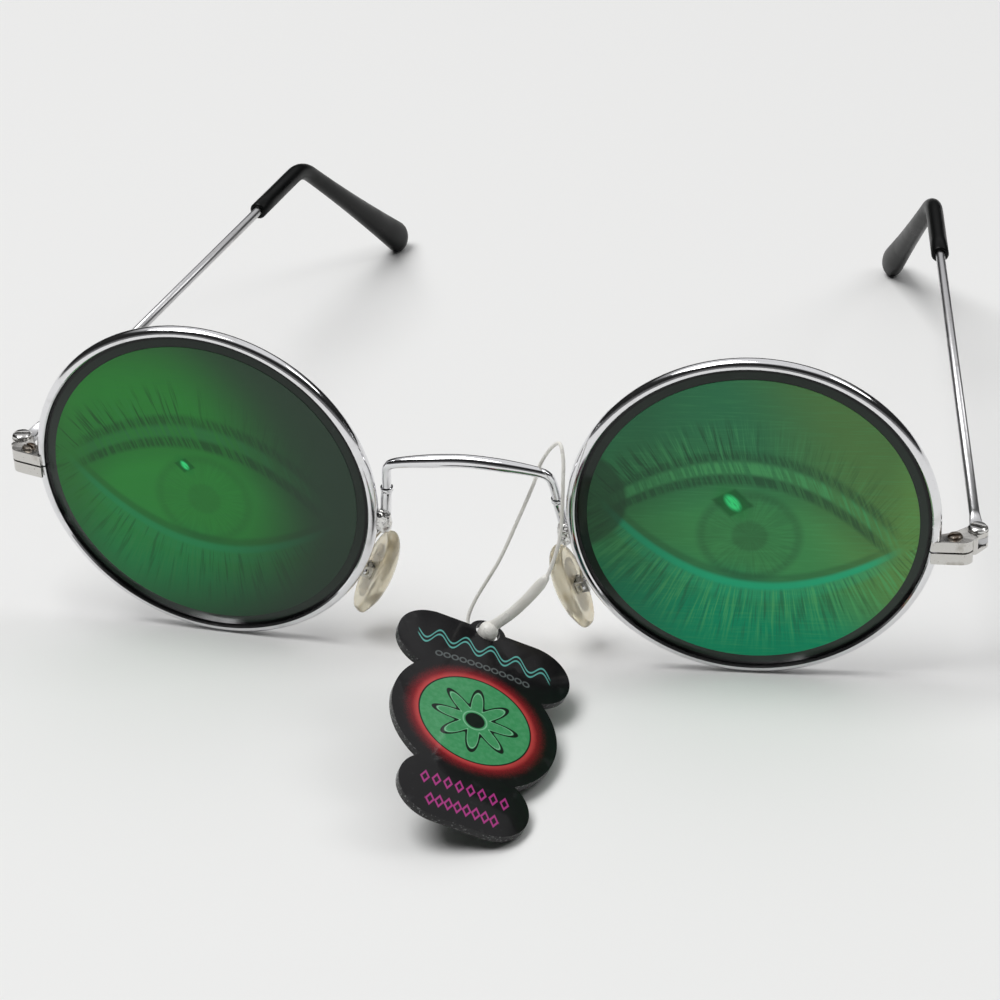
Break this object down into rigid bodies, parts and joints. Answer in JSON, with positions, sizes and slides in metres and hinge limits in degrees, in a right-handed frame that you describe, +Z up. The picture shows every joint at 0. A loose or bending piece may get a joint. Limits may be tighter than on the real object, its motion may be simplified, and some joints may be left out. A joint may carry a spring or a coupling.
{
  "type": "novelty sunglasses",
  "caption": "Round wire-rimmed novelty sunglasses with picture films over dark lenses, folding temples, rocking nose pads and a lobed hang tag on a nylon loop.",
  "frame": {"origin": "On the table, midway between the rims' front and the temples' tips, under the middle of the bridge", "axes": "+X to the wearer's left, +Y from the rims to the temples' tips, +Z up from the table; the part lies open on its rims and temple tips"},
  "size_m": [0.1328, 0.1801, 0.0482],
  "materials": {
    "bright_rim": "bright nickel plated rim wire, lightly worn",
    "bright_wire": "bright nickel plated round wire, lightly worn",
    "end_metal": "bright plated pressed metal with a softer polish",
    "dark_lens": "flat dark grey-green plastic lens, glossy",
    "picture_film": "dark green picture film with a fine grooved sheen",
    "solder": "dull silver solder, lumpy and a little stained",
    "pad_metal": "plain stamped metal, dull",
    "pad_plastic": "clear soft plastic, slightly yellowed",
    "lock_screw": "small slotted screw, dull with brown stains",
    "hinge_screw": "small slotted screw, bright and scratched in the slot",
    "tip_plastic": "black plastic, satin",
    "tag_board": "black board under a clear domed gloss",
    "loop_nylon": "clear nylon tag fastener"
  },
  "bodies": {
    "front": {"rim_left": "bright_rim", "rim_right": "bright_rim", "lens_left": "dark_lens", "lens_right": "dark_lens", "picture_film_left": "picture_film", "picture_film_right": "picture_film", "bridge": "bright_wire", "bridge_braze": "solder", "pad_arm_left": "bright_wire", "pad_arm_right": "bright_wire", "end_piece_left": "end_metal", "end_piece_right": "end_metal", "rim_lock_block_left": "end_metal", "rim_lock_block_right": "end_metal", "rim_lock_screws": "lock_screw", "hinge_screw_left": "hinge_screw", "hinge_screw_right": "hinge_screw", "hang_tag": "tag_board", "tag_loop": "loop_nylon", "tag_loop_band": "loop_nylon", "tag_loop_lock": "loop_nylon"},
    "temple_left": {"temple_wire_left": "bright_wire", "temple_tip_left": "tip_plastic"},
    "temple_right": {"temple_wire_right": "bright_wire", "temple_tip_right": "tip_plastic"},
    "pad_left": {"pad_insert_left": "pad_metal", "nose_pad_left": "pad_plastic"},
    "pad_right": {"pad_insert_right": "pad_metal", "nose_pad_right": "pad_plastic"}
  },
  "joints": [
    {"name": "temple_left_hinge", "type": "hinge", "parent": "front", "child": "temple_left", "pos_m": [0.06536, -0.06038, 0.02097], "axis": [0, 0, 1], "range_deg": [-4, 76]},
    {"name": "temple_right_hinge", "type": "hinge", "parent": "front", "child": "temple_right", "pos_m": [-0.06476, -0.05967, 0.02516], "axis": [0, 0, -1], "range_deg": [-4, 76]},
    {"name": "pad_left_rock", "type": "hinge", "parent": "front", "child": "pad_left", "pos_m": [0.01376, -0.06159, 0.01056], "axis": [0.0523, 0.9948, 0.087], "range_deg": [-8, 8]},
    {"name": "pad_right_rock", "type": "hinge", "parent": "front", "child": "pad_right", "pos_m": [-0.01652, -0.06215, 0.01077], "axis": [-0.4067, 0.9101, 0.0796], "range_deg": [-8, 8]}
  ]
}
